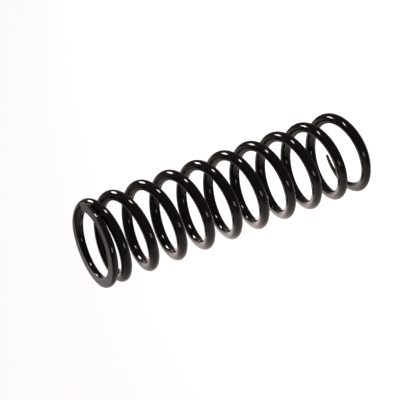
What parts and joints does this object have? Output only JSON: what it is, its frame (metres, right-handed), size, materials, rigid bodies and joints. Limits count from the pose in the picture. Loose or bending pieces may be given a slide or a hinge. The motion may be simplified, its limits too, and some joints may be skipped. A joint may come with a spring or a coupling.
{
  "type": "suspension spring",
  "caption": "Helical compression spring of round wire for a vehicle suspension, right-hand wound, with ground ends and gloss black paint.",
  "frame": {"origin": "on the coil's axis, in the plane of the lower ground face", "axes": "+Z along the coil's axis, up through the turns; +X through the tip of the upper end turn"},
  "size_m": [0.1, 0.1, 0.3421],
  "materials": {
    "coil_spring": "gloss black paint all over, a little duller over the grinding marks of both end faces"
  },
  "bodies": {
    "root": {"coil_spring": "coil_spring"}
  },
  "joints": []
}
